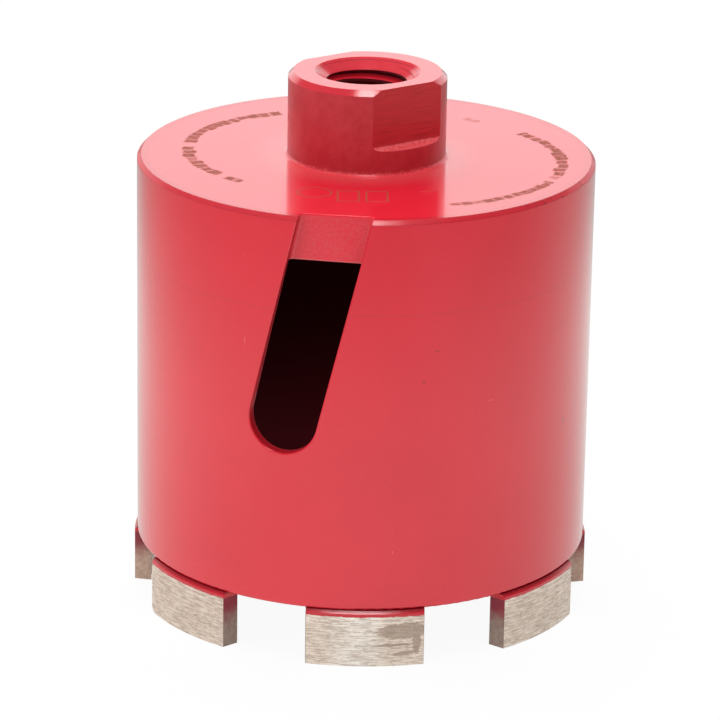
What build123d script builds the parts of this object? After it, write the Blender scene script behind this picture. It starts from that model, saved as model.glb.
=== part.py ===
from build123d import *
import math
import os

# Dry diamond core bit: a steel barrel with cutting segments, closed by a plate with a threaded hub.
# The origin is on the tool's axis in the plane of the cutting faces, and +Z points to the hub.
# Azimuths are in degrees from -Y, the front of the tool, towards +X.

os.makedirs("parts", exist_ok=True)

# Driving sizes, in millimetres and degrees

# Cutting segments
nominal_diameter = 82.0
segment_count = 7
segment_width = 20.6
segment_thickness = 3.0
segment_height = 10.2
first_segment_azimuth = 1.6
segment_shoulder_chamfer = 0.5
worn_segment = 7
worn_corner_radius = 1.2

# Barrel
outer_side_clearance = 0.5
barrel_wall = 2.0
barrel_length = 70.5
top_chamfer = 0.7
rim_round = 0.6

# End cap and hub
cap_thickness = 8.3
hub_diameter = 28.0
hub_height = 15.2
hub_chamfer = 0.95
hub_base_fillet = 0.6
thread_minor_diameter = 13.835
countersink_diameter = 18.7
countersink_angle = 110.0
cap_bore_chamfer = 1.0

# Spanner flats on the hub
flats_across = 24.0
flats_azimuth = 35.2
flats_length = 10.8
flats_foot_fillet = 1.0
flats_foot_fillet_limit = 0.9

# Slanted slot, milled by a cutter whose axis always points at the tool's axis
slot_width = 12.3
slot_length = 42.5
slot_end_azimuth = -19.8
slot_slant = 13.7
slot_depth_in_cap = 1.3
slot_corner_round = 0.7
slot_corner_round_limit = 0.9
slot_edge_round = 0.25
slot_lip_round = 0.3
cut_overrun = 3.0
radius_tolerance = 0.05

# Sizes that follow

nominal_radius = nominal_diameter / 2
segment_inner_radius = nominal_radius - segment_thickness
barrel_radius = nominal_radius - outer_side_clearance
bore_radius = barrel_radius - barrel_wall
barrel_top = segment_height + barrel_length
bevel_foot = barrel_top - top_chamfer
cap_bottom = barrel_top - cap_thickness
hub_radius = hub_diameter / 2
hub_top = barrel_top + hub_height
flats_foot = hub_top - flats_length
flats_ledge = hub_radius - flats_across / 2
flats_foot_radius = min(flats_foot_fillet, flats_foot_fillet_limit * flats_ledge)
slot_end_height = barrel_top - slot_length + slot_width / 2
slot_floor_radius = bore_radius - slot_depth_in_cap
slot_side_depth_in_cap = bore_radius - math.hypot(slot_floor_radius, slot_width / 2)
slot_corner_radius = min(slot_corner_round, slot_corner_round_limit * slot_side_depth_in_cap)
slot_outer_radius = nominal_radius + cut_overrun
slot_lead = 2 * math.pi * barrel_radius / math.tan(math.radians(slot_slant))


def around(azimuth):
    """A plane at the origin whose X axis points out of the tool at an azimuth."""
    return Plane.XY.rotated((0, 0, azimuth - 90))


def on_barrel_outside(edge):
    """Whether an edge of the barrel lies on its outer wall, below the bevelled top."""
    middle = edge @ 0.5
    return abs(math.hypot(middle.X, middle.Y) - barrel_radius) < radius_tolerance and middle.Z < bevel_foot


# Slot cutter: the swept path of the cutter and the round end where it stops, made to start at +X
with BuildPart() as slot_cutter:
    with BuildLine() as slot_path:
        Helix(
            pitch=slot_lead,
            height=barrel_top - slot_end_height + cut_overrun,
            radius=barrel_radius,
            center=(0, 0, slot_end_height),
        )
    path_start = slot_path.line @ 0
    with BuildSketch(Plane(origin=path_start, x_dir=(1, 0, 0), z_dir=slot_path.line % 0)) as slot_profile:
        with Locations((slot_floor_radius - barrel_radius, 0)):
            Rectangle(slot_outer_radius - slot_floor_radius, slot_width, align=(Align.MIN, Align.CENTER))
        fillet(slot_profile.vertices().group_by(Axis.X)[0], slot_corner_radius)
    sweep(is_frenet=True)
    with BuildSketch(Plane(origin=(slot_floor_radius, 0, slot_end_height), z_dir=(1, 0, 0))):
        Circle(slot_width / 2)
    extrude(amount=slot_outer_radius - slot_floor_radius)
slot_tool = slot_cutter.part.rotate(Axis.Z, slot_end_azimuth - 90)

# Barrel: a tube with a bevelled top, a rounded bottom rim and the slot, its outer edges rounded by the paint
with BuildPart() as barrel:
    with BuildSketch(Plane.XY.offset(segment_height)):
        Circle(barrel_radius)
        Circle(bore_radius, mode=Mode.SUBTRACT)
    extrude(amount=barrel_length)
    chamfer(barrel.edges().group_by(Axis.Z)[-1].sort_by(SortBy.RADIUS)[-1], top_chamfer)
    fillet(barrel.edges().group_by(Axis.Z)[0].sort_by(SortBy.RADIUS)[-1], rim_round)
    add(slot_tool, mode=Mode.SUBTRACT)
    fillet(barrel.edges(Select.LAST).filter_by(on_barrel_outside), slot_edge_round)
barrel.part.label = "barrel"
export_step(barrel.part, "parts/barrel.step")

# End cap: the plate in the barrel's top and the hub, turned in one
with BuildPart() as end_cap:
    with BuildSketch(Plane.XY.offset(cap_bottom)):
        Circle(bore_radius)
    extrude(amount=cap_thickness)
    with BuildSketch(Plane.XY.offset(barrel_top)):
        Circle(hub_radius)
    extrude(amount=hub_height)
    circles = end_cap.edges().filter_by(GeomType.CIRCLE).group_by(Axis.Z)
    chamfer(circles[-1], hub_chamfer)
    circles = end_cap.edges().filter_by(GeomType.CIRCLE).group_by(Axis.Z)
    fillet(circles[1].sort_by(SortBy.RADIUS)[0], hub_base_fillet)

    # Spanner flats, each ending in a fillet on its ledge
    with BuildSketch(around(flats_azimuth).offset(flats_foot)):
        Circle(hub_radius + cut_overrun)
        Rectangle(flats_across, hub_diameter + 2 * cut_overrun, mode=Mode.SUBTRACT)
    extrude(amount=flats_length + cut_overrun, mode=Mode.SUBTRACT)
    level_lines = end_cap.edges().filter_by(GeomType.LINE).filter_by(Plane.XY)
    fillet(level_lines.group_by(Axis.Z)[0], flats_foot_radius)

    with Locations((0, 0, hub_top)):
        CounterSinkHole(
            radius=thread_minor_diameter / 2,
            counter_sink_radius=countersink_diameter / 2,
            counter_sink_angle=countersink_angle,
        )
    circles = end_cap.edges().filter_by(GeomType.CIRCLE).group_by(Axis.Z)
    chamfer(circles[0].sort_by(SortBy.RADIUS)[0], cap_bore_chamfer)
    add(slot_tool, mode=Mode.SUBTRACT)
    fillet(end_cap.edges(Select.LAST).filter_by(GeomType.BSPLINE).group_by(Axis.Z)[-1], slot_lip_round)
end_cap.part.label = "end_cap"
export_step(end_cap.part, "parts/end_cap.step")

# Cutting segments: curved blocks with parallel ends, welded to the barrel's bottom rim
for number in range(1, segment_count + 1):
    segment_frame = around(first_segment_azimuth + (number - 1) * 360 / segment_count)
    with BuildPart() as segment:
        with BuildSketch(segment_frame):
            Circle(nominal_radius)
            Circle(segment_inner_radius, mode=Mode.SUBTRACT)
            Rectangle(
                nominal_radius, segment_width, align=(Align.MIN, Align.CENTER), mode=Mode.INTERSECT
            )
        extrude(amount=segment_height)
        shoulder = segment.edges().filter_by(GeomType.CIRCLE).group_by(Axis.Z)[-1].sort_by(SortBy.RADIUS)[-1]
        chamfer(shoulder, segment_shoulder_chamfer)
        if number == worn_segment:
            end_lines = segment.edges().filter_by(GeomType.LINE).group_by(Axis.Z)[0]
            fillet(end_lines.sort_by(Axis((0, 0, 0), segment_frame.y_dir))[0], worn_corner_radius)
    segment.part.label = f"segment_{number}"
    export_step(segment.part, f"parts/segment_{number}.step")
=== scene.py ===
"""A dry diamond core bit in red paint, on a white table.

The steel barrel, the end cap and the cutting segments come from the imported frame. This script gives them
their finishes, cuts the hub's thread and sets the table, the lamp and the camera. Azimuths are in degrees
from -Y, the front of the tool, towards +X, and lengths are in metres.
"""

import logging
import math
from dataclasses import dataclass, field
from enum import Enum
from functools import reduce
from typing import Any

import bmesh
import bpy
from mathutils import Matrix, Vector


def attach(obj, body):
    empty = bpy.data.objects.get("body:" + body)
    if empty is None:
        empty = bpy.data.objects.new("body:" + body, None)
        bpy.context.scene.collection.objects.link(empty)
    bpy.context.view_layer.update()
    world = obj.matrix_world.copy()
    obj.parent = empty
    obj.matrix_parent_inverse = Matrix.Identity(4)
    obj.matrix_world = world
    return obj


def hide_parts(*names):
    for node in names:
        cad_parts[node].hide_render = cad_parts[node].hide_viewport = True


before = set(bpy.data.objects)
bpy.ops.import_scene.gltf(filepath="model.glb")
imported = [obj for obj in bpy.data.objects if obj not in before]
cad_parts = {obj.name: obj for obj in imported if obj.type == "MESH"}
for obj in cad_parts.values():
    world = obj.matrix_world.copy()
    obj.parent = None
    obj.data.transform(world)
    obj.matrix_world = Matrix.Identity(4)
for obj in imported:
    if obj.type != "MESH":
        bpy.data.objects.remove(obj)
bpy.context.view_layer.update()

LOG = logging.getLogger("core_bit")
MM = 0.001
BARREL_TOP = 80.7 * MM
BARREL_RADIUS = 40.5 * MM
PLATE_RADIUS = 38.5 * MM
PLATE_BOTTOM = 72.4 * MM
HUB_TOP = 95.9 * MM
Colour = tuple[float, float, float]
Inputs = dict[Any, Any]
Layer = tuple[Any, Any]


class RayKind(Enum):
    """The kinds of ray that a shader tells apart, by the Light Path node's outputs."""

    CAMERA = "Is Camera Ray"
    GLOSSY = "Is Glossy Ray"


class Mixed(Enum):
    """What a Mix node mixes, by the type of its sockets."""

    COLOURS = "RGBA"
    VECTORS = "VECTOR"


class Signal:
    """A node's output socket, used like a number in Python expressions."""

    def __init__(self, shader: "Shader", socket: bpy.types.NodeSocket) -> None:
        """Wraps an output socket in the shader's node tree."""
        self.shader = shader
        self.socket = socket

    def _maths(self, operation: str, first: Any, second: Any = None) -> "Signal":
        """Adds a Math node of one or two inputs and returns its result."""
        inputs = {0: first} if second is None else {0: first, 1: second}
        return self.shader.take("ShaderNodeMath", 0, inputs, operation=operation)

    def __add__(self, other: Any) -> "Signal":
        """Returns the sum."""
        return self._maths("ADD", self, other)

    def __sub__(self, other: Any) -> "Signal":
        """Returns the difference."""
        return self._maths("SUBTRACT", self, other)

    def __rsub__(self, other: Any) -> "Signal":
        """Returns the difference, with the signal on the right."""
        return self._maths("SUBTRACT", other, self)

    def __mul__(self, other: Any) -> "Signal":
        """Returns the product."""
        return self._maths("MULTIPLY", self, other)

    def __truediv__(self, other: Any) -> "Signal":
        """Returns the quotient."""
        return self._maths("DIVIDE", self, other)

    def __abs__(self) -> "Signal":
        """Returns the signal without its sign."""
        return self._maths("ABSOLUTE", self)

    def most(self, other: Any) -> "Signal":
        """Returns the larger of two values."""
        return self._maths("MAXIMUM", self, other)

    def root(self) -> "Signal":
        """Returns the square root."""
        return self._maths("SQRT", self)

    def angle_from(self, other: Any) -> "Signal":
        """Returns the angle in radians of the point (other, self), measured from the first axis."""
        return self._maths("ARCTAN2", self, other)

    def wrapped(self, period: float) -> "Signal":
        """Returns the signal's place inside a repeating period, from 0 to the period."""
        return self._maths("FLOORED_MODULO", self, period)

    def step(self, low: float, high: float) -> "Signal":
        """Returns a smooth rise from 0, at the low value, to 1, at the high one, which may be smaller."""
        inputs = {"Value": self, "From Min": low, "From Max": high}
        return self.shader.take("ShaderNodeMapRange", "Result", inputs, interpolation_type="SMOOTHSTEP")

    def band(self, centre: float, half_width: float, blur: float) -> "Signal":
        """Marks a band about a centre, 1 within it and falling to 0 outside it.

        Args:
            centre: The band's centre.
            half_width: Half the band's width.
            blur: The width over which the band fades, centred on its edge.

        Returns:
            The band's mask.
        """
        return abs(self - centre).step(half_width + blur / 2, half_width - blur / 2)


class Shader:
    """A material's or a world's node tree, built by calls."""

    def __init__(self, owner: bpy.types.Material | bpy.types.World) -> None:
        """Empties the owner's node tree and starts it with an output node.

        Args:
            owner: The material or the world.
        """
        owner.use_nodes = True
        self.owner = owner
        self.tree = owner.node_tree
        self.tree.nodes.clear()
        kind = "World" if isinstance(owner, bpy.types.World) else "Material"
        self.output = self.node(f"ShaderNodeOutput{kind}")

    def node(self, kind: str, inputs: Inputs | None = None, **settings: Any) -> bpy.types.Node:
        """Adds one node.

        Args:
            kind: The node's type.
            inputs: Values, or signals to link, by socket name or number.
            settings: The node's properties.

        Returns:
            The node.
        """
        made = self.tree.nodes.new(kind)
        for name, value in settings.items():
            setattr(made, name, value)
        for name, value in (inputs or {}).items():
            self.connect(made.inputs[name], value)
        return made

    def take(self, kind: str, output: str | int, inputs: Inputs | None = None, **settings: Any) -> Signal:
        """Adds one node, as node does, and returns one of its outputs."""
        return Signal(self, self.node(kind, inputs, **settings).outputs[output])

    def connect(self, socket: bpy.types.NodeSocket, value: Any) -> None:
        """Links a signal to an input socket, or sets the socket's value.

        Args:
            socket: The input socket.
            value: A signal, a number, a colour or a vector.
        """
        if isinstance(value, Signal):
            self.tree.links.new(value.socket, socket)
        elif isinstance(value, tuple) and socket.type == Mixed.COLOURS.value:
            socket.default_value = (*value, 1.0)
        else:
            socket.default_value = value

    def show(self, result: Signal) -> None:
        """Makes a shader node's result the output."""
        self.connect(self.output.inputs["Surface"], result)

    def surface(self, **inputs: Any) -> None:
        """Makes a Principled shader the output, with its inputs by name and underscores for spaces."""
        named = {name.replace("_", " "): value for name, value in inputs.items()}
        self.show(self.take("ShaderNodeBsdfPrincipled", "BSDF", named))

    def point(self) -> Signal:
        """Returns the point being shaded, in the tool's own frame."""
        return self.take("ShaderNodeTexCoord", "Object")

    def facing(self) -> Signal:
        """Returns the way that the point being shaded faces."""
        return self.take("ShaderNodeNewGeometry", "Normal")

    def parts_of(self, vector: Signal) -> tuple[Signal, Signal, Signal]:
        """Returns a vector's three parts."""
        split = self.node("ShaderNodeSeparateXYZ", {"Vector": vector})
        return tuple(Signal(self, split.outputs[name]) for name in "XYZ")

    def vector(self, x: Any, y: Any, z: Any) -> Signal:
        """Returns a vector made of three values or signals."""
        return self.take("ShaderNodeCombineXYZ", "Vector", {"X": x, "Y": y, "Z": z})

    def noise(self, vector: Signal, size: float, detail: float = 2.0, roughness: float = 0.5) -> Signal:
        """Adds a noise pattern.

        Args:
            vector: Where the noise is read.
            size: The size of its features, in the vector's units.
            detail: How many finer layers it has.
            roughness: How strong the finer layers are.

        Returns:
            The noise, about 0.5 in the middle.
        """
        inputs = {"Vector": vector, "Scale": 1.0 / size, "Detail": detail, "Roughness": roughness}
        return self.take("ShaderNodeTexNoise", "Fac", inputs)

    def spots(self, vector: Signal, spacing: float, radius: float, share: float) -> Signal:
        """Scatters round spots.

        Args:
            vector: Where the pattern is read.
            spacing: The mean distance between the places where a spot may be.
            radius: A spot's largest radius.
            share: The share of the places that hold a spot.

        Returns:
            1 in the spots and 0 outside them.
        """
        cells = self.node("ShaderNodeTexVoronoi", {"Vector": vector, "Scale": 1.0 / spacing})
        chance, _, _ = self.parts_of(Signal(self, cells.outputs["Color"]))
        reach = Signal(self, cells.outputs["Distance"]) * spacing
        size = chance.step(1.0 - share, 1.0) * radius
        return (size - reach).step(0.0, radius * 0.3)

    def blend(self, amount: Any, first: Any, second: Any, kind: Mixed = Mixed.COLOURS) -> Signal:
        """Mixes two colours or two vectors.

        Args:
            amount: The second one's share.
            first: The result at 0.
            second: The result at 1.
            kind: What is mixed.

        Returns:
            The mixture.
        """
        mixed = self.node("ShaderNodeMix", {"Factor": amount}, data_type=kind.value)
        for name, value in (("A", first), ("B", second)):
            socket = next(s for s in mixed.inputs if s.name == name and s.type == kind.value)
            self.connect(socket, value)
        return Signal(self, next(s for s in mixed.outputs if s.type == kind.value))

    def layered(self, base: Any, *layers: Layer) -> Signal:
        """Lays colours over one another.

        Args:
            base: The lowest colour.
            layers: Pairs of an amount and the colour that covers by it, from the lowest up.

        Returns:
            The mixed colour.
        """
        return reduce(lambda below, layer: self.blend(layer[0], below, layer[1]), layers, base)

    def bump(self, height: Signal, depth: float, normal: Signal) -> Signal:
        """Adds a height to a normal and returns the bumped one. A height of 1 stands for the depth."""
        return self.take("ShaderNodeBump", "Normal", {"Height": height, "Distance": depth, "Normal": normal})

    def soft_edges(self, radius: Any) -> Signal:
        """Returns a normal that rounds the edges to a radius, a value or a signal."""
        return self.take("ShaderNodeBevel", "Normal", {"Radius": radius}, samples=6)


def distance_of(x: Signal, y: Signal) -> Signal:
    """Returns the distance of the point (x, y) from the origin."""
    return (x * x + y * y).root()


def azimuth_of(x: Signal, y: Signal) -> Signal:
    """Returns the azimuth of the point (x, y), in degrees."""
    return x.angle_from(y * -1.0) * math.degrees(1.0)


def across_and_out(x: Signal, y: Signal, azimuth: float) -> tuple[Signal, Signal]:
    """Returns how far the vector (x, y) goes across an azimuth's direction, and how far along it."""
    cosine, sine = math.cos(math.radians(azimuth)), math.sin(math.radians(azimuth))
    return x * cosine + y * sine, x * sine - y * cosine


def add_object(name: str, data: bpy.types.ID) -> bpy.types.Object:
    """Makes an object and links it to the scene.

    Args:
        name: The object's name.
        data: Its mesh, lamp or camera.

    Returns:
        The object.
    """
    made = bpy.data.objects.new(name, data)
    bpy.context.scene.collection.objects.link(made)
    return made


def give_material(piece: bpy.types.Object, material: bpy.types.Material) -> None:
    """Makes a material the only one of a piece."""
    piece.data.materials.clear()
    piece.data.materials.append(material)


@dataclass(frozen=True)
class ToolPlace:
    """Where a point lies on the tool. The radius is its distance from the axis."""

    x: Signal
    y: Signal
    height: Signal
    radius: Signal
    azimuth: Signal

    @classmethod
    def read(cls, shader: Shader) -> "ToolPlace":
        """Returns the place of the point being shaded."""
        x, y, height = shader.parts_of(shader.point())
        return cls(x, y, height, distance_of(x, y), azimuth_of(x, y))


@dataclass(frozen=True)
class RedPaint:
    """Satin-gloss red paint sprayed on steel, with orange peel, dust specks and small nicks."""

    colour: Colour = (0.72, 0.0115, 0.030)
    deep_colour: Colour = (0.64, 0.009, 0.024)
    # Pale specks of dust; the barrel also uses this colour for a painted highlight on the slot's inner edge.
    speck_and_highlight_colour: Colour = (0.80, 0.13, 0.13)
    nick_colour: Colour = (0.30, 0.02, 0.02)
    roughness: float = 0.20
    satin_roughness: float = 0.42
    matt_roughness: float = 0.75
    satin_coat: float = 0.30
    coat_roughness: float = 0.09
    peel_size: float = 1.1 * MM
    peel_depth: float = 0.003 * MM
    grain_size: float = 0.35 * MM
    cloud_size: float = 22.0 * MM
    sheen_size: float = 6.0 * MM
    speck_spacing: float = 1.7 * MM
    speck_radius: float = 0.15 * MM
    nick_spacing: float = 11.0 * MM
    nick_radius: float = 0.42 * MM
    edge_radius: float = 0.22 * MM
    rim_extra_radius: float = 0.30 * MM
    rim_foot: float = 79.3 * MM
    rim_inner_radius: float = 39.2 * MM
    joint_radius: float = 38.45 * MM
    joint_half_width: float = 0.85 * MM

    def normal(self, shader: Shader) -> Signal:
        """Rounds the edges, apart from the plate's joint with the barrel, which the paint fills.

        Args:
            shader: The material's node tree.

        Returns:
            The normal.
        """
        place = ToolPlace.read(shader)
        joint = place.radius.band(self.joint_radius, self.joint_half_width, 0.1 * MM)
        joint = joint * place.height.band(BARREL_TOP, 0.05 * MM, 0.02 * MM)
        rim = place.height.step(self.rim_foot, self.rim_foot + 0.2 * MM)
        rim = rim * place.radius.step(self.rim_inner_radius, self.rim_inner_radius + 0.2 * MM)
        soft = shader.soft_edges(rim * self.rim_extra_radius + self.edge_radius)
        return shader.blend(joint, soft, shader.facing(), Mixed.VECTORS)

    def dress(
        self, shader: Shader, colour: Signal, relief: Signal, matt: Signal, satin: Signal, metal: Any = 0.0
    ) -> None:
        """Builds the paint.

        Args:
            shader: The material's node tree.
            colour: The paint's colour.
            relief: A relief to add, in units of the peel's depth.
            matt: Where the gloss is gone, from 0 to 1.
            satin: Where the paint went on dry and is only satin, from 0 to 1.
            metal: Where bare metal shows, from 0 to 1.
        """
        point = shader.point()
        grain = shader.noise(point, self.grain_size, 2.0, 0.6)
        height = shader.noise(point, self.peel_size, 3.0, 0.55) + satin * grain * 2.5 + relief
        rough = shader.noise(point, self.sheen_size, 2.0) * 0.06 + (self.roughness - 0.03)
        rough = rough + satin * (self.satin_roughness - self.roughness)
        rough = rough + matt * (self.matt_roughness - self.roughness)
        shader.surface(
            Base_Color=colour,
            Metallic=metal,
            Roughness=rough,
            Coat_Weight=(1.0 - matt) * (1.0 - satin * (1.0 - self.satin_coat)),
            Coat_Roughness=self.coat_roughness,
            Normal=shader.bump(height, self.peel_depth, self.normal(shader)),
        )

    def coat_of_paint(self, shader: Shader) -> Signal:
        """Mixes the paint's colour.

        Args:
            shader: The material's node tree.

        Returns:
            The colour, with its clouds, specks and nicks.
        """
        point = shader.point()
        clouds = shader.noise(point, self.cloud_size, 3.0, 0.6).step(0.25, 0.8)
        grain = shader.noise(point, self.grain_size * 1.6, 3.0, 0.7).step(0.25, 0.75)
        specks = shader.spots(point, self.speck_spacing, self.speck_radius, 0.35)
        nicks = shader.spots(point, self.nick_spacing, self.nick_radius, 0.25)
        return shader.layered(
            self.colour,
            (clouds * 0.6 + grain * 0.4, self.deep_colour),
            (specks * 0.45, self.speck_and_highlight_colour),
            (nicks * 0.55, self.nick_colour),
        )


@dataclass(frozen=True)
class Nick:
    """A small dent or scratch in the barrel's paint."""

    azimuth: float
    height: float
    half_width: float = 0.45 * MM
    half_height: float = 0.35 * MM

    def mask(self, place: ToolPlace, wobble: Signal) -> Signal:
        """Draws the nick.

        Args:
            place: The place of the point being shaded.
            wobble: A noise that frays the nick's edge.

        Returns:
            1 in the nick and 0 outside it.
        """
        across = (place.azimuth - self.azimuth) * (math.radians(BARREL_RADIUS) / self.half_width)
        up = (place.height - self.height) / self.half_height
        return (distance_of(across, up) + wobble * 1.2).step(1.1, 0.7)


@dataclass(frozen=True)
class BarrelFinish:
    """Red paint outside and a turned line round the barrel; inside, near-black painted shade that lightens
    low down as painted light.
    """

    paint: RedPaint = RedPaint()
    # The inside is painted near-black as painted shade, lighter towards the bottom as painted light from the
    # open end.
    inside_shade_colour: Colour = (0.035, 0.0022, 0.0035)
    inside_light_colour: Colour = (0.10, 0.010, 0.015)
    inside_light_height: float = 5.0 * MM
    inside_shade_height: float = 42.0 * MM
    slot_wall: Colour = (0.62, 0.007, 0.022)
    inside_radius: float = 38.6 * MM
    lip_radius: float = 38.7 * MM
    wall_radius: float = 40.3 * MM
    # The rim chamfer's darker red is painted shade; the chips over it are real.
    rim_shade_colour: Colour = (0.58, 0.005, 0.020)
    rim_chip: Colour = (0.22, 0.004, 0.012)
    rim_foot: float = 79.85 * MM
    rim_inner_radius: float = 39.7 * MM
    rim_grain: float = 0.9 * MM
    chip_size: float = 1.3 * MM
    chips_start: float = 30.0
    chips_full: float = 60.0
    glint_start: float = -5.0
    glint_end: float = 2.0
    scratch_colour: Colour = (0.80, 0.16, 0.16)
    fray_size: float = 0.4 * MM
    dents: tuple[Nick, ...] = (
        Nick(18.1, 57.3 * MM, 0.42 * MM, 0.25 * MM),
        Nick(14.9, 51.9 * MM, 0.36 * MM, 0.26 * MM),
        Nick(60.7, 38.6 * MM, 0.36 * MM, 0.50 * MM),
        Nick(58.3, 56.9 * MM, 0.26 * MM, 0.24 * MM),
        Nick(-64.0, 33.0 * MM, 0.30 * MM, 0.22 * MM),
        Nick(121.0, 44.0 * MM),
        Nick(-148.0, 61.0 * MM),
        Nick(171.0, 27.0 * MM),
    )
    scratches: tuple[Nick, ...] = (
        Nick(-30.0, 57.4 * MM, 0.12 * MM, 0.95 * MM),
        Nick(33.0, 47.0 * MM, 0.50 * MM, 0.10 * MM),
        Nick(8.0, 21.0 * MM, 0.12 * MM, 0.40 * MM),
        Nick(-112.0, 50.0 * MM, 0.14 * MM, 1.3 * MM),
    )
    turned_line_height: float = 64.0 * MM
    turned_line_width: float = 0.35 * MM

    def material(self) -> bpy.types.Material:
        """Makes the barrel's material.

        Returns:
            The material.
        """
        shader = Shader(bpy.data.materials.new("barrel_paint"))
        point = shader.point()
        place = ToolPlace.read(shader)
        under_top = place.height.step(BARREL_TOP - 0.05 * MM, BARREL_TOP - 0.15 * MM)
        inside = place.radius.step(self.inside_radius + 0.05 * MM, self.inside_radius - 0.05 * MM) * under_top
        rim = place.height.step(self.rim_foot, self.rim_foot + 0.1 * MM)
        rim = rim * place.radius.step(self.rim_inner_radius, self.rim_inner_radius + 0.1 * MM)
        wall = place.radius.step(self.wall_radius + 0.08 * MM, self.wall_radius) * (1.0 - inside)
        wall = wall * under_top * (1.0 - rim)
        # A pale line along the slot wall's inner edge: a painted highlight.
        inner_edge_highlight = wall * place.radius.step(self.lip_radius + 0.2 * MM, self.lip_radius)
        line = place.height.band(self.turned_line_height, self.turned_line_width / 2, 0.3 * MM)
        chips = shader.noise(point, self.chip_size, 3.0, 0.65).step(0.54, 0.66)
        chips = chips * place.azimuth.step(self.chips_start, self.chips_full)
        wobble = shader.noise(point, self.fray_size, 2.0) - 0.5
        dented = reduce(Signal.most, [dent.mask(place, wobble) for dent in self.dents])
        scratched = reduce(Signal.most, [scratch.mask(place, wobble) for scratch in self.scratches])
        light_from_below = place.height.step(self.inside_shade_height, self.inside_light_height)
        colour = shader.layered(
            self.paint.coat_of_paint(shader),
            # Painted shade on the rim chamfer.
            (rim * 0.8, self.rim_shade_colour),
            (rim * chips * 0.8, self.rim_chip),
            (dented * 0.6, self.paint.nick_colour),
            (line * 0.12, self.paint.nick_colour),
            (scratched * 0.35, self.scratch_colour),
            (wall * 0.9, self.slot_wall),
            # Painted highlight along the slot wall's inner edge.
            (inner_edge_highlight * 0.5, self.paint.speck_and_highlight_colour),
            # Painted shade inside the tube, lightening to painted light towards the open bottom.
            (inside, shader.blend(light_from_below, self.inside_shade_colour, self.inside_light_colour)),
        )
        relief = shader.noise(point, self.rim_grain, 2.0, 0.6) * rim * 18.0 - line * 0.7 - dented * 6.0
        glint = place.azimuth.step(self.glint_start - 4.0, self.glint_start)
        glint = glint * place.azimuth.step(self.glint_end + 4.5, self.glint_end)
        satin = rim * (0.95 - glint * 0.35)
        self.paint.dress(shader, colour, relief, inside.most(wall * 0.85), satin, inside.most(wall * 0.35))
        return shader.owner


@dataclass(frozen=True)
class MarkArc:
    """A band of plain etched dashes along an arc whose centre lies off the tool's axis."""

    centre_x: float
    centre_y: float
    radius: float
    start: float
    end: float
    width: float = 2.3 * MM
    pitch: float = 5.2
    strength: float = 1.0
    stroke_turn: float = 0.7
    stroke_length: float = 0.8 * MM
    fray_size: float = 0.6 * MM
    fray_depth: float = 1.3 * MM
    blur: float = 0.14 * MM

    def mask(self, shader: Shader, place: ToolPlace, seed: float) -> Signal:
        """Draws the arc's dashes.

        Args:
            shader: The material's node tree.
            place: The place of the point being shaded.
            seed: A number that sets this arc's dashes apart from another's.

        Returns:
            1 in the dashes and 0 outside them.
        """
        out_x, out_y = place.x - self.centre_x, place.y - self.centre_y
        radius, azimuth = distance_of(out_x, out_y), azimuth_of(out_x, out_y)
        wobble = shader.noise(shader.point(), self.fray_size, 3.0, 0.65) - 0.5
        along_strokes = shader.vector(azimuth / self.stroke_turn, radius / self.stroke_length, seed)
        strokes = shader.noise(along_strokes, 1.0, 2.0).step(0.34, 0.54)
        turn = (azimuth - self.start) / self.pitch
        place_in_cell = turn.wrapped(1.0)
        cell = turn - place_in_cell
        chance, other = self.chance(shader, cell, seed), self.chance(shader, cell, seed + 0.5)
        half_dash = chance * 0.14 + 0.34
        dash = (half_dash + wobble * 0.6 - abs(place_in_cell - 0.5)).step(-0.07, 0.07)
        half_width = other * (0.16 * self.width) + 0.36 * self.width
        middle = (chance - other) * (0.14 * self.width) + self.radius
        across = half_width + wobble * self.fray_depth - abs(radius - middle)
        within = azimuth.band((self.start + self.end) / 2, (self.end - self.start) / 2, 0.6)
        fragment = (chance + other).step(0.18, 0.30)
        shown = (dash * 0.75 + 0.25) * (strokes * 0.35 + 0.65) * (fragment * 0.5 + 0.5)
        return across.step(-self.blur, self.blur) * shown * within * self.strength

    @staticmethod
    def chance(shader: Shader, cell: Signal, seed: float) -> Signal:
        """Returns a random value from 0 to 1 for each dash's cell."""
        return shader.take("ShaderNodeTexWhiteNoise", "Value", {"W": cell + seed}, noise_dimensions="1D")


@dataclass(frozen=True)
class FaintMarks:
    """A faint plain ring and two outlined blocks, engraved in the plate."""

    ring_x: float = -8.8 * MM
    ring_y: float = -24.0 * MM
    ring_radius: float = 2.9 * MM
    blocks_x: tuple[float, ...] = (-3.0 * MM, 1.9 * MM)
    blocks_y: float = -25.9 * MM
    block_half_width: float = 1.8 * MM
    block_half_length: float = 3.0 * MM
    line: float = 0.36 * MM
    blur: float = 0.25 * MM

    def mask(self, place: ToolPlace) -> Signal:
        """Draws the ring and the blocks.

        Args:
            place: The place of the point being shaded.

        Returns:
            1 in their lines and 0 outside them.
        """
        reach = distance_of(place.x - self.ring_x, place.y - self.ring_y)
        total = reach.band(self.ring_radius, self.line / 2, self.blur)
        along = abs(place.y - self.blocks_y) - self.block_half_length
        for block_x in self.blocks_x:
            outside = (abs(place.x - block_x) - self.block_half_width).most(along)
            total = total.most(outside.band(0.0, self.line / 2, self.blur))
        return total


@dataclass(frozen=True)
class CapAreas:
    """Where a point lies on the end cap, how far it faces up and out at the flats, and the areas' masks."""

    place: ToolPlace
    facing_up: Signal
    facing_out: Signal
    upright: Signal
    on_plate: Signal
    above_plate: Signal
    on_foot: Signal
    in_cone: Signal
    in_bore: Signal
    unlit: Signal
    in_slot: Signal


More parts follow.
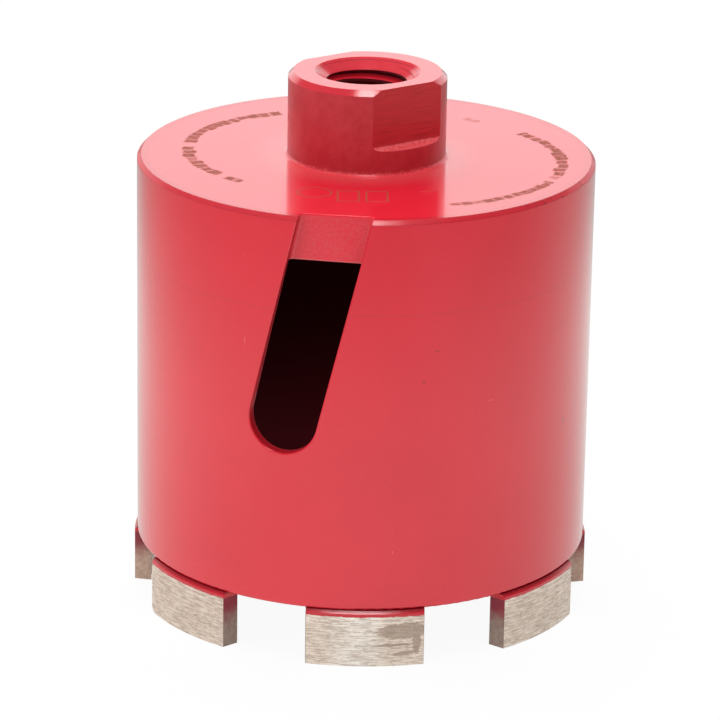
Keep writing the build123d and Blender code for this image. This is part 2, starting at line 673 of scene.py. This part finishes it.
@dataclass(frozen=True)
class CapFinish:
    """Red paint on the turned cap and hub, with etched dashes and faint engraved marks on the plate."""

    paint: RedPaint = RedPaint(colour=(0.86, 0.0150, 0.040), deep_colour=(0.78, 0.0115, 0.032))
    faint_marks: FaintMarks = FaintMarks()
    mark_colour: Colour = (0.29, 0.058, 0.016)
    faint_colour: Colour = (0.46, 0.085, 0.05)
    faint_strength: float = 0.85
    # The bore's downward faces and the countersink's groove are painted dark as painted shade.
    thread_shade_colour: Colour = (0.11, 0.002, 0.008)
    # The hub's side, flats, chamfer and countersink get darker reds than the plate's paint, as painted shade;
    # its top gets a brighter red, as painted light.
    hub_shade_colour: Colour = (0.55, 0.027, 0.040)
    hub_shade_deep: Colour = (0.49, 0.013, 0.025)
    hub_top_light_colour: Colour = (0.96, 0.012, 0.032)
    flat_shade_colour: Colour = (0.58, 0.015, 0.023)
    flat_shade_streak: Colour = (0.43, 0.008, 0.015)
    # The speckled pale pink on the ledges and the foot fillet is a painted highlight where they face up.
    ledge_highlight_colour: Colour = (0.97, 0.14, 0.15)
    # A speckled brightening of the plate round the hub's foot: a painted reflection of the hub.
    foot_reflection_colour: Colour = (0.95, 0.085, 0.10)
    foot_reflection_radius: float = 21.5 * MM
    foot_reflection_full_radius: float = 15.0 * MM
    # Dust specks on the hub; the same colour is a painted highlight along the slot notch's foot.
    dust_and_highlight_colour: Colour = (0.66, 0.10, 0.11)
    dust_spacing: float = 0.8 * MM
    dust_radius: float = 0.16 * MM
    speckle_size: float = 0.5 * MM
    stain_size: float = 0.8 * MM
    cloud_size: float = 3.5 * MM
    streak_length: float = 7.0 * MM
    streak_width: float = 0.2 * MM
    scratch_length: float = 5.0 * MM
    scratch_width: float = 0.13 * MM
    ring_width: float = 0.16 * MM
    hub_foot: float = 80.8 * MM
    fillet_top: float = 81.5 * MM
    ledge_height: float = 84.9 * MM
    ledge_half_height: float = 1.6 * MM
    flat_foot: float = 85.2 * MM
    flat_reach: float = 12.0 * MM
    flat_azimuth: float = 35.2
    chamfer_radius: float = 12.4 * MM
    chamfer_rise: float = 0.707
    cone_rise: float = 0.819
    cone_foot: float = 93.5 * MM
    bore_edge: float = 94.15 * MM
    bore_reach: float = 8.1 * MM
    groove_radius: float = 8.75 * MM
    arcs: tuple[MarkArc, ...] = (
        MarkArc(-6.9 * MM, 2.1 * MM, 24.9 * MM, -159.3, -96.0),
        MarkArc(-6.9 * MM, 2.1 * MM, 24.7 * MM, -91.3, -48.8),
        MarkArc(-6.9 * MM, 2.1 * MM, 25.1 * MM, -44.1, -35.6, 1.8 * MM),
        MarkArc(7.4 * MM, -3.8 * MM, 27.0 * MM, 14.8, 64.8, 1.9 * MM, 4.4),
        MarkArc(7.35 * MM, -3.4 * MM, 27.1 * MM, 67.0, 131.6, 2.2 * MM),
        MarkArc(0.0, 0.0, 29.8 * MM, 136.8, 143.2, 1.8 * MM, 3.2, 0.4),
        MarkArc(0.0, 0.0, 24.5 * MM, 22.0, 29.0, 0.8 * MM, 7.2, 0.35),
    )

    def areas(self, shader: Shader) -> CapAreas:
        """Tells the cap's areas apart.

        Args:
            shader: The material's node tree.

        Returns:
            The areas at the point being shaded.
        """
        place = ToolPlace.read(shader)
        height = place.height
        facing_x, facing_y, facing_up = shader.parts_of(shader.facing())
        _, facing_out = across_and_out(facing_x, facing_y, self.flat_azimuth)
        above_plate = height.step(self.hub_foot - 0.04 * MM, self.hub_foot)
        on_foot = height.step(self.fillet_top, self.fillet_top - 0.1 * MM) * facing_up.step(0.985, 0.95)
        in_cone = facing_up.band(self.cone_rise, 0.1, 0.06)
        in_bore = height.step(self.bore_edge, self.bore_edge - 0.1 * MM)
        in_bore = in_bore * place.radius.step(self.bore_reach + 0.1 * MM, self.bore_reach)
        return CapAreas(
            place=place,
            facing_up=facing_up,
            facing_out=abs(facing_out),
            upright=abs(facing_up).step(0.5, 0.3),
            on_plate=height.band(BARREL_TOP, 0.1 * MM, 0.05 * MM),
            above_plate=above_plate,
            on_foot=on_foot * above_plate,
            in_cone=in_cone * height.step(self.cone_foot, self.cone_foot + 0.5 * MM),
            in_bore=in_bore,
            unlit=in_bore * facing_up.step(0.45, 0.15),
            in_slot=height.step(BARREL_TOP - 0.3 * MM, BARREL_TOP - 0.5 * MM),
        )

    def marks(self, shader: Shader, areas: CapAreas) -> Signal:
        """Draws the etched marks.

        Args:
            shader: The material's node tree.
            areas: The cap's areas.

        Returns:
            1 in the marks and 0 outside them.
        """
        masks = [arc.mask(shader, areas.place, 100.0 * number) for number, arc in enumerate(self.arcs)]
        stain = shader.noise(shader.point(), self.stain_size, 3.0, 0.7).step(0.3, 0.62)
        return reduce(Signal.most, masks) * areas.on_plate * (stain * 0.35 + 0.65)

    def turned(self, shader: Shader, areas: CapAreas) -> Signal:
        """Draws the tool marks: rings in the countersink and level scratches on the hub's side and flats.

        Args:
            shader: The material's node tree.
            areas: The cap's areas.

        Returns:
            The relief, in units of the peel's depth.
        """
        place = areas.place
        fine = shader.vector(place.radius / self.ring_width, place.height / self.ring_width, 0.0)
        rings = shader.noise(fine, 1.0, 2.0, 0.6)
        across, _ = across_and_out(place.x, place.y, self.flat_azimuth)
        level = (place.height + across * 0.04) / self.scratch_width
        along = shader.vector(across / self.scratch_length, place.y / self.scratch_length, level)
        scratches = shader.noise(along, 1.0, 3.0, 0.6)
        groove = place.radius.band(self.groove_radius, 0.06 * MM, 0.08 * MM) * areas.in_cone
        return rings * areas.in_cone * 7.0 + scratches * areas.upright * 3.0 - groove * 8.0

    def plate_layers(self, areas: CapAreas, speckle: Signal, marks: Signal) -> list[Layer]:
        """Colours the plate: a speckled brightening round the hub's foot, which is a painted reflection of
        the hub, the faint marks and the etched ones.

        Args:
            areas: The cap's areas.
            speckle: A fine noise.
            marks: The etched marks.

        Returns:
            The layers.
        """
        # Painted reflection of the hub round its foot.
        foot_reflection = areas.place.radius.step(self.foot_reflection_radius, self.foot_reflection_full_radius) * areas.on_plate
        faint = self.faint_marks.mask(areas.place) * areas.on_plate * self.faint_strength
        return [
            (foot_reflection * (speckle * 0.5 + 0.5), self.foot_reflection_colour),
            (faint, self.faint_colour),
            (marks, self.mark_colour),
        ]

    def hub_layers(self, shader: Shader, areas: CapAreas, speckle: Signal) -> list[Layer]:
        """Colours the hub: its side, flats, chamfer and countersink darker as painted shade, its top brighter
        as painted light, its ledges and foot paler as painted highlights, and its bore and groove dark as
        painted shade.

        Args:
            shader: The material's node tree.
            areas: The cap's areas.
            speckle: A fine noise.

        Returns:
            The layers.
        """
        point, place, facing_up = shader.point(), areas.place, areas.facing_up
        height, radius = place.height, place.radius
        side = areas.upright * height.step(self.hub_foot, self.hub_foot + 0.5 * MM)
        cloud = shader.noise(point, self.cloud_size, 4.0, 0.7).step(0.35, 0.65)
        dust = shader.spots(point, self.dust_spacing, self.dust_radius, 0.35)
        top = facing_up.step(0.95, 0.99) * height.step(HUB_TOP - 0.3 * MM, HUB_TOP - 0.1 * MM)
        chamfer = facing_up.band(self.chamfer_rise, 0.08, 0.06) * areas.above_plate
        chamfer = chamfer * radius.step(self.chamfer_radius, self.chamfer_radius + 0.2 * MM)
        across, outward = across_and_out(place.x, place.y, self.flat_azimuth)
        flat = side * areas.facing_out.step(0.985, 0.995)
        flat = flat * height.step(self.flat_foot, self.flat_foot + 0.4 * MM)
        slanted = height - across * 0.02
        level = shader.vector(across / self.streak_length, slanted / self.streak_width, 0.0)
        streak = shader.noise(level, 1.0, 3.0, 0.65).step(0.42, 0.68)
        ledge = abs(outward).step(self.flat_reach - 0.1 * MM, self.flat_reach - 0.02 * MM)
        ledge = ledge * height.band(self.ledge_height, self.ledge_half_height, 0.3 * MM)
        ledge = ledge * facing_up.step(0.25, 0.5)
        groove = radius.band(self.groove_radius, 0.04 * MM, 0.08 * MM) * areas.in_cone
        return [
            # Painted shade on the hub's side, flats, chamfer and countersink, and painted light on its top;
            # the clouds and streaks are real.
            (side * 0.95, shader.blend(cloud, self.hub_shade_colour, self.hub_shade_deep)),
            (top, self.hub_top_light_colour),
            (chamfer * 0.6 + areas.in_cone * 0.4, self.hub_shade_colour),
            (dust * side * 0.6, self.dust_and_highlight_colour),
            (flat, shader.blend(streak, self.flat_shade_colour, self.flat_shade_streak)),
            # Painted highlight, speckled, on the ledges and on the foot fillet below.
            (ledge * (speckle.step(0.3, 0.65) * 0.7 + 0.4), self.ledge_highlight_colour),
            # Painted shade in the bore and in the countersink's groove.
            (areas.unlit.most(groove * 0.6), self.thread_shade_colour),
            (areas.on_foot * speckle.step(0.45, 0.6) * 0.35, self.ledge_highlight_colour),
        ]

    def slot_layers(self, areas: CapAreas, speckle: Signal) -> list[Layer]:
        """Colours the slot's notch in the plate: slightly darker as painted shade, with a pale line along its
        foot as a painted highlight and a speckle of dust.

        Args:
            areas: The cap's areas.
            speckle: A fine noise.

        Returns:
            The layers.
        """
        # A pale line along the notch's foot is a painted highlight; the notch's slight darkening is painted
        # shade; the speckle is dust.
        foot = areas.place.height.step(PLATE_BOTTOM + 0.35 * MM, PLATE_BOTTOM + 0.1 * MM) * 0.8
        dusty = foot.most(speckle.step(0.2, 0.8) * 0.35)
        return [(areas.in_slot * 0.2, self.hub_shade_deep), (areas.in_slot * dusty, self.dust_and_highlight_colour)]

    def material(self) -> bpy.types.Material:
        """Makes the end cap's material.

        Returns:
            The material.
        """
        shader = Shader(bpy.data.materials.new("cap_paint"))
        areas = self.areas(shader)
        speckle = shader.noise(shader.point(), self.speckle_size, 2.0, 0.6)
        marks = self.marks(shader, areas)
        colour = shader.layered(
            self.paint.coat_of_paint(shader),
            *self.plate_layers(areas, speckle, marks),
            *self.hub_layers(shader, areas, speckle),
            *self.slot_layers(areas, speckle),
        )
        satin = (areas.above_plate * areas.facing_up.step(0.6, 0.4)).most(areas.on_foot * 0.8)
        satin = satin.most(areas.in_slot * 0.2).most(areas.in_bore).most(areas.in_cone * 0.45)
        self.paint.dress(shader, colour, self.turned(shader, areas), marks.most(areas.unlit), satin)
        return shader.owner


@dataclass(frozen=True)
class Blot:
    """A dull patch that the grinding wheel missed, as a tilted oval on the segment's face."""

    along: float
    height: float
    half_length: float
    half_height: float
    tilt: float = 0.0

    def reach(self, along: Signal, height: Signal) -> Signal:
        """Works out how deep a point lies inside the oval.

        Args:
            along: The point's place along the arc.
            height: The point's height.

        Returns:
            1 at the oval's middle, 0 on its edge and less outside.
        """
        level, upright = across_and_out(along - self.along, height - self.height, self.tilt)
        return 1.0 - distance_of(level / self.half_length, upright / self.half_height)


@dataclass(frozen=True)
class SegmentWear:
    """How one segment differs from the rest: its dull patches, its face tint, which paints shade, and its end
    tint, which paints light.
    """

    blots: tuple[Blot, ...] = ()
    face_tint: Colour = (1.0, 1.0, 1.0)
    end_tint: Colour = (1.0, 1.0, 1.0)


@dataclass(frozen=True)
class SegmentFinish:
    """Ground cutting metal: cream, streaked along the cut, dull where the wheel missed, red at the top."""

    # bright is a painted sheen across the middle of a segment's face.
    bright: Colour = (0.98, 0.93, 0.85)
    pale: Colour = (0.88, 0.77, 0.665)
    mid: Colour = (0.73, 0.605, 0.495)
    dark: Colour = (0.35, 0.25, 0.185)
    dull: Colour = (0.41, 0.305, 0.235)
    dull_dark: Colour = (0.29, 0.21, 0.155)
    end_metal: Colour = (0.25, 0.175, 0.14)
    end_pale: Colour = (0.38, 0.28, 0.22)
    end_red: Colour = (0.25, 0.008, 0.028)
    paint: Colour = (0.56, 0.006, 0.020)
    # The darker red just under the barrel's rim is painted shade.
    joint_shade_colour: Colour = (0.24, 0.004, 0.011)
    streak_length: float = 6.0 * MM
    streak_width: float = 0.40 * MM
    streak_slope: float = 0.012
    tone_length: float = 2.4 * MM
    tone_width: float = 0.6 * MM
    tear_length: float = 2.2 * MM
    tear_width: float = 0.45 * MM
    grain_size: float = 0.35 * MM
    fray_size: float = 1.6 * MM
    mottle_size: float = 0.7 * MM
    sheen_start: float = -3.0 * MM
    sheen_end: float = 0.5 * MM
    red_start: float = 3.5 * MM
    red_full: float = 8.0 * MM
    outer_radius: float = 41.0 * MM
    half_width: float = 10.3 * MM
    paint_line: float = 9.15 * MM
    joint_line: float = 9.95 * MM
    edge_radius: float = 0.15 * MM
    streak_depth: float = 0.012 * MM

    @staticmethod
    def tinted(tint: Colour, *colours: Colour) -> list[Colour]:
        """Returns the colours multiplied by a tint."""
        return [tuple(part * share for part, share in zip(colour, tint)) for colour in colours]

    def material(self, name: str, azimuth: float, wear: SegmentWear) -> bpy.types.Material:
        """Makes one segment's material.

        Args:
            name: The material's name.
            azimuth: The segment's azimuth.
            wear: How this segment differs from the rest.

        Returns:
            The material.
        """
        shader = Shader(bpy.data.materials.new(name))
        point = shader.point()
        x, y, height = shader.parts_of(point)
        across, outward = across_and_out(x, y, azimuth)
        arc = across.angle_from(outward) * self.outer_radius
        slanted = height + arc * self.streak_slope

        fine = shader.vector(arc / self.streak_length, slanted / self.streak_width, outward / MM)
        lines = abs(shader.noise(fine, 1.0, 3.0, 0.65) - 0.5).step(0.075, 0.0)
        broad = shader.vector(arc / self.tone_length, slanted / self.tone_width, outward / MM)
        tone = shader.noise(broad, 1.0, 3.0, 0.65).step(0.36, 0.62)
        grain = shader.noise(point, self.grain_size, 3.0, 0.7).step(0.42, 0.66)
        wobble = shader.noise(point, self.fray_size, 3.0, 0.6) - 0.5
        pale, mid, dark = self.tinted(wear.face_tint, self.pale, self.mid, self.dark)
        layers = [(tone, pale), (grain * 0.4, mid), (lines * (0.72 - tone * 0.25), dark)]
        if wear.blots:
            # A brighter cream across the middle of the face: a painted sheen.
            painted_sheen = arc.step(self.sheen_start - 5.0 * MM, self.sheen_start)
            painted_sheen = painted_sheen * arc.step(self.sheen_end + 4.0 * MM, self.sheen_end)
            layers.insert(1, (painted_sheen * (tone * 0.45 + 0.5), self.bright))
            torn = shader.vector(arc / self.tear_length, slanted / self.tear_width, 0.0)
            jagged = (shader.noise(torn, 1.0, 3.0, 0.65) - 0.5) * 1.1
            reaches = [blot.reach(arc, height) + jagged for blot in wear.blots]
            patch = shader.blend(grain * 0.5 + lines * 0.4, self.dull, self.dull_dark)
            layers.append((reduce(Signal.most, reaches).step(-0.05, 0.12) * 0.8, patch))

        at_end = (abs(across) - (self.half_width - 0.06 * MM)).step(0.0, 0.04 * MM)
        metal, metal_pale = self.tinted(wear.end_tint, self.end_metal, self.end_pale)
        mottle = shader.noise(point, self.mottle_size, 3.0, 0.65).step(0.35, 0.7)
        reddening = (height + wobble * (4.0 * MM)).step(self.red_start, self.red_full)
        end = shader.layered(metal, (mottle * 0.6, metal_pale), (reddening * 0.97, self.end_red))

        painted = height + wobble * (0.5 * MM)
        painted = painted.step(self.paint_line - 0.08 * MM, self.paint_line + 0.08 * MM)
        # Painted shade on the paint just under the barrel's rim.
        joint = height + wobble * (0.2 * MM)
        joint = joint.step(self.joint_line - 0.13 * MM, self.joint_line + 0.13 * MM)
        paint = shader.blend(joint * 0.85, self.paint, self.joint_shade_colour)
        shader.surface(
            Base_Color=shader.layered(mid, *layers, (at_end, end), (painted, paint)),
            Metallic=(1.0 - painted.most(at_end)) * 0.12,
            Roughness=0.5 - painted * 0.25,
            Coat_Weight=painted * (0.7 - joint * 0.5),
            Coat_Roughness=0.09,
            Normal=shader.bump(tone - lines, self.streak_depth, shader.soft_edges(self.edge_radius)),
        )
        return shader.owner


@dataclass
class HubThread:
    """The hub's internal thread, cut as a real helix."""

    minor_radius: float = 6.9175 * MM
    major_radius: float = 8.0 * MM
    pitch: float = 2.0 * MM
    flank_angle: float = 30.0
    root_flat: float = 0.25 * MM
    overlap: float = 0.5 * MM
    bottom: float = 71.0 * MM
    top: float = 97.0 * MM
    start_angle: float = 37.8
    steps_per_turn: int = 96

    def ring(self, angle: float) -> list[Vector]:
        """Works out the cutter's section at an angle.

        Args:
            angle: The angle along the helix, in radians.

        Returns:
            The section's four corners.
        """
        inner, outer = self.minor_radius - self.overlap, self.major_radius
        half_root = self.root_flat / 2
        half_mouth = half_root + (outer - inner) * math.tan(math.radians(self.flank_angle))
        height = self.bottom + self.pitch * angle / (2 * math.pi)
        turn = angle + math.radians(self.start_angle)
        corners = (inner, -half_mouth), (outer, -half_root), (outer, half_root), (inner, half_mouth)
        return [Vector((r * math.cos(turn), r * math.sin(turn), height + rise)) for r, rise in corners]

    def cutter(self) -> bpy.types.Object:
        """Builds the helical cutter.

        Returns:
            The cutter.
        """
        mesh = bmesh.new()
        rings = []
        for i in range(round((self.top - self.bottom) / self.pitch * self.steps_per_turn) + 1):
            corners = self.ring(2 * math.pi * i / self.steps_per_turn)
            rings.append([mesh.verts.new(corner) for corner in corners])
        for below, above in zip(rings, rings[1:]):
            for i, lower in enumerate(below):
                j = (i + 1) % len(below)
                mesh.faces.new((lower, below[j], above[j], above[i]))
        mesh.faces.new(rings[0][::-1])
        mesh.faces.new(rings[-1])
        bmesh.ops.recalc_face_normals(mesh, faces=mesh.faces)
        data = bpy.data.meshes.new("thread_cutter")
        mesh.to_mesh(data)
        mesh.free()
        return add_object("thread_cutter", data)


@dataclass
class Barrel:
    """The steel tube with its slanted slot."""

    finish: BarrelFinish = field(default_factory=BarrelFinish)

    def dress(self) -> list[bpy.types.Object]:
        """Gives the barrel its paint.

        Returns:
            The barrel.
        """
        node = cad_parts["barrel"]
        give_material(node, self.finish.material())
        return [node]


@dataclass
class EndCap:
    """The turned plate and hub, with the thread cut in the hub's bore."""

    thread: HubThread = field(default_factory=HubThread)
    finish: CapFinish = field(default_factory=CapFinish)
    weld: float = 0.0005 * MM
    sharp_angle: float = 28.0
    rim_reach: float = 0.01 * MM
    rim_tuck: float = 0.06 * MM
    rim_drop: float = 0.004 * MM

    def build(self) -> bpy.types.Object:
        """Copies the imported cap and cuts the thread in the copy.

        Returns:
            The threaded cap.
        """
        mesh = bmesh.new()
        mesh.from_mesh(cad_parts["end_cap"].data)
        bmesh.ops.remove_doubles(mesh, verts=mesh.verts, dist=self.weld)
        self.tuck_rim(mesh)
        data = bpy.data.meshes.new("threaded_end_cap")
        mesh.to_mesh(data)
        mesh.free()
        cap = add_object("threaded_end_cap", data)
        cutter = self.thread.cutter()
        cut = cap.modifiers.new("thread", "BOOLEAN")
        cut.operation = "DIFFERENCE"
        cut.solver = "EXACT"
        cut.object = cutter
        self.apply_modifiers(cap)
        if "custom_normal" in cap.data.attributes:
            cap.data.attributes.remove(cap.data.attributes["custom_normal"])
        bpy.data.objects.remove(cutter)
        self.shade(cap)
        return cap

    @staticmethod
    def apply_modifiers(cap: bpy.types.Object) -> None:
        """Makes the modifiers' result the cap's own mesh.

        Args:
            cap: The cap.
        """
        bpy.context.view_layer.update()
        evaluated = cap.evaluated_get(bpy.context.evaluated_depsgraph_get())
        made = bpy.data.meshes.new_from_object(evaluated)
        cap.modifiers.clear()
        cap.data = made

    def tuck_rim(self, mesh: bmesh.types.BMesh) -> None:
        """Slips the plate's top rim a hair under the barrel's, so that the paint bridges the joint.

        Args:
            mesh: The cap's mesh.
        """
        for vertex in mesh.verts:
            radius = math.hypot(vertex.co.x, vertex.co.y)
            if radius > PLATE_RADIUS - self.rim_reach and vertex.co.z > BARREL_TOP - self.rim_reach:
                vertex.co.x *= (radius + self.rim_tuck) / radius
                vertex.co.y *= (radius + self.rim_tuck) / radius
                vertex.co.z -= self.rim_drop

    def shade(self, cap: bpy.types.Object) -> None:
        """Smooths the curved faces and keeps the flat ones flat and the edges crisp.

        Args:
            cap: The threaded cap.
        """
        cap.data.polygons.foreach_set("use_smooth", [True] * len(cap.data.polygons))
        cap.data.set_sharp_from_angle(angle=math.radians(self.sharp_angle))
        flat = cap.modifiers.new("flat_faces", "WEIGHTED_NORMAL")
        flat.keep_sharp = True
        self.apply_modifiers(cap)

    def dress(self) -> list[bpy.types.Object]:
        """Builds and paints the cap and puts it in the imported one's place.

        Returns:
            The threaded cap.
        """
        cap = self.build()
        give_material(cap, self.finish.material())
        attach(cap, "root")
        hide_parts("end_cap")
        return [cap]


@dataclass
class Segments:
    """The cutting segments on the barrel's bottom rim."""

    count: int = 7
    first_azimuth: float = 1.6
    finish: SegmentFinish = field(default_factory=SegmentFinish)
    patched: SegmentWear = SegmentWear(
        blots=(
            Blot(6.8 * MM, 6.5 * MM, 4.9 * MM, 1.5 * MM, 1.0),
            Blot(9.1 * MM, 4.9 * MM, 0.8 * MM, 3.0 * MM),
            Blot(5.2 * MM, 3.9 * MM, 3.8 * MM, 0.24 * MM, 1.0),
            Blot(7.0 * MM, 2.3 * MM, 2.2 * MM, 0.40 * MM, 6.0),
        )
    )
    # Segments 3 and 6 get paler ends as painted light, and segment 7 a darker face as painted shade.
    painted_light_ends: SegmentWear = SegmentWear(end_tint=(1.8, 1.7, 1.6))
    painted_shade_face: SegmentWear = SegmentWear(face_tint=(0.89, 0.86, 0.85))

    def wear(self, number: int) -> SegmentWear:
        """Returns how one segment, by its number, differs from the rest."""
        worn = {1: self.patched, 4: self.patched, 3: self.painted_light_ends, 6: self.painted_light_ends, 7: self.painted_shade_face}
        return worn.get(number, SegmentWear())

    def dress(self) -> list[bpy.types.Object]:
        """Gives each segment its ground finish.

        Returns:
            The segments.
        """
        nodes = []
        for number in range(1, self.count + 1):
            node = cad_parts[f"segment_{number}"]
            azimuth = self.first_azimuth + (number - 1) * 360 / self.count
            name = f"ground_segment_{number}"
            give_material(node, self.finish.material(name, azimuth, self.wear(number)))
            nodes.append(node)
        return nodes


@dataclass
class Studio:
    """The white table, the lamp and the room, bright behind and on the left as a light tent is."""

    table_size: float = 6.0
    table_colour: Colour = (0.90, 0.90, 0.90)
    white: Colour = (1.0, 1.0, 1.0)
    mirrored_colour: Colour = (1.0, 0.96, 0.925)
    shadow_share: float = 0.06
    lamp_place: tuple[float, float, float] = (0.0, -0.26, 0.85)
    lamp_aim: tuple[float, float, float] = (0.0, 0.0, 0.05)
    lamp_size: float = 0.25
    lamp_power: float = 1.2
    glare: tuple[float, float, float] = (0.0, -0.33, 0.944)
    glare_level: float = 9.0

    def build(self) -> None:
        """Builds the table, the room and the lamp."""
        self.table()
        self.room()
        self.lamp()

    def table(self) -> None:
        """Builds the white table, which keeps the tool's shadow and glows like a light table."""
        half = self.table_size / 2
        data = bpy.data.meshes.new("table")
        corners = [(-half, -half, 0), (half, -half, 0), (half, half, 0), (-half, half, 0)]
        data.from_pydata(corners, [], [(0, 1, 2, 3)])
        table = add_object("table", data)
        shader = Shader(bpy.data.materials.new("white_table"))
        give_material(table, shader.owner)
        camera, glossy = self.rays(shader)
        other = 1.0 - camera - glossy
        x, y, _ = shader.parts_of(shader.point())
        reach = distance_of(x, y)
        right_back = (x * 0.5 + y * 0.87).step(0.05, 0.2)
        sides = right_back * 0.12 + x.step(-0.06, -0.13) * 0.11 + x.step(0.05, 0.15) * 0.10
        mirrored = sides + 0.74 - reach.step(0.13, 0.33) * 0.5
        spread = 1.55 - reach.step(0.05, 0.5) * 0.5 - reach.step(0.085, 0.045) * 0.35
        spread = spread - x.step(0.02, 0.2) * 0.5 - x.step(-0.02, -0.2) * 0.24
        warm = shader.blend(glossy, self.white, self.mirrored_colour)
        strength = camera + glossy * mirrored + other * spread
        cloth = shader.take("ShaderNodeBsdfDiffuse", 0, {"Color": self.table_colour})
        glow = shader.take("ShaderNodeEmission", 0, {"Color": warm, "Strength": strength})
        share = camera * (1.0 - self.shadow_share) + glossy + other * 0.5
        shader.show(shader.take("ShaderNodeMixShader", 0, {"Fac": share, 1: cloth, 2: glow}))

    @staticmethod
    def rays(shader: Shader) -> tuple[Signal, Signal]:
        """Returns whether the ray is the camera's, and whether it is a glossy one."""
        path = shader.node("ShaderNodeLightPath")
        return tuple(Signal(shader, path.outputs[kind.value]) for kind in RayKind)

    def room(self) -> None:
        """Makes the white room, which the camera and the gloss see and which lights the tool evenly."""
        world = bpy.data.worlds.new("light_tent")
        bpy.context.scene.world = world
        shader = Shader(world)
        camera, glossy = self.rays(shader)
        x, y, z = shader.parts_of(shader.take("ShaderNodeTexCoord", "Generated"))
        back, front = y.step(-0.1, 0.6), y.step(-0.2, -0.9)
        left, right = x.step(0.3, -0.8), x.step(0.1, 0.8)
        top = z.step(0.3, 0.9)
        soft = back * z.step(0.95, 0.6) * 0.6 + left * 0.42 + top * (back * 1.5 + 0.5) + front * 0.36
        soft = soft + 0.32 - right * 0.33
        glare = (x * self.glare[0] + y * self.glare[1] + z * self.glare[2]).step(0.970, 0.997)
        mirrored = back * z.step(0.48, 0.36) * 1.02 + 0.05 + glare * self.glare_level
        level = camera + glossy * mirrored + (1.0 - camera - glossy) * soft
        shader.show(shader.take("ShaderNodeBackground", 0, {"Color": self.white, "Strength": level}))

    def lamp(self) -> None:
        """Adds the softbox, a square lamp that faces the tool and doesn't mirror in it."""
        data = bpy.data.lights.new("key_softbox", "AREA")
        data.size = self.lamp_size
        data.energy = self.lamp_power
        lamp = add_object("key_softbox", data)
        lamp.visible_glossy = False
        lamp.location = self.lamp_place
        aim = Vector(self.lamp_aim) - Vector(self.lamp_place)
        lamp.rotation_mode = "QUATERNION"
        lamp.rotation_quaternion = aim.to_track_quat("-Z", "Y")


@dataclass
class ProductCamera:
    """The camera, at the photograph's viewing angle."""

    aim_x: float = -0.526 * MM
    aim_height: float = 42.068 * MM
    distance: float = 739.89 * MM
    elevation: float = 19.2146
    roll: float = 0.9598
    lens: float = 205.78

    def build(self) -> None:
        """Makes the camera and gives it to the scene."""
        elevation = math.radians(self.elevation)
        roll = math.radians(self.roll)
        forward = Vector((0.0, math.cos(elevation), -math.sin(elevation)))
        level_right = Vector((1.0, 0.0, 0.0))
        level_up = level_right.cross(forward)
        right = level_right * math.cos(roll) + level_up * math.sin(roll)
        up = level_up * math.cos(roll) - level_right * math.sin(roll)
        place = Vector((self.aim_x, 0.0, self.aim_height)) - forward * self.distance
        data = bpy.data.cameras.new("product_camera")
        data.lens = self.lens
        camera = add_object("product_camera", data)
        turn = Matrix((right, up, -forward)).transposed().to_4x4()
        camera.matrix_world = Matrix.Translation(place) @ turn
        bpy.context.scene.camera = camera


def main() -> None:
    """Dresses the tool, reports its pieces and sets the studio and the camera."""
    logging.basicConfig(level=logging.INFO, format="%(name)s: %(message)s")
    bpy.context.scene.view_settings.view_transform = "Standard"
    ProductCamera().build()
    for assembly in (Barrel(), EndCap(), Segments()):
        for piece in assembly.dress():
            LOG.info("dressed %s with %d faces", piece.name, len(piece.data.polygons))
    Studio().build()


if __name__ == "__main__":
    main()
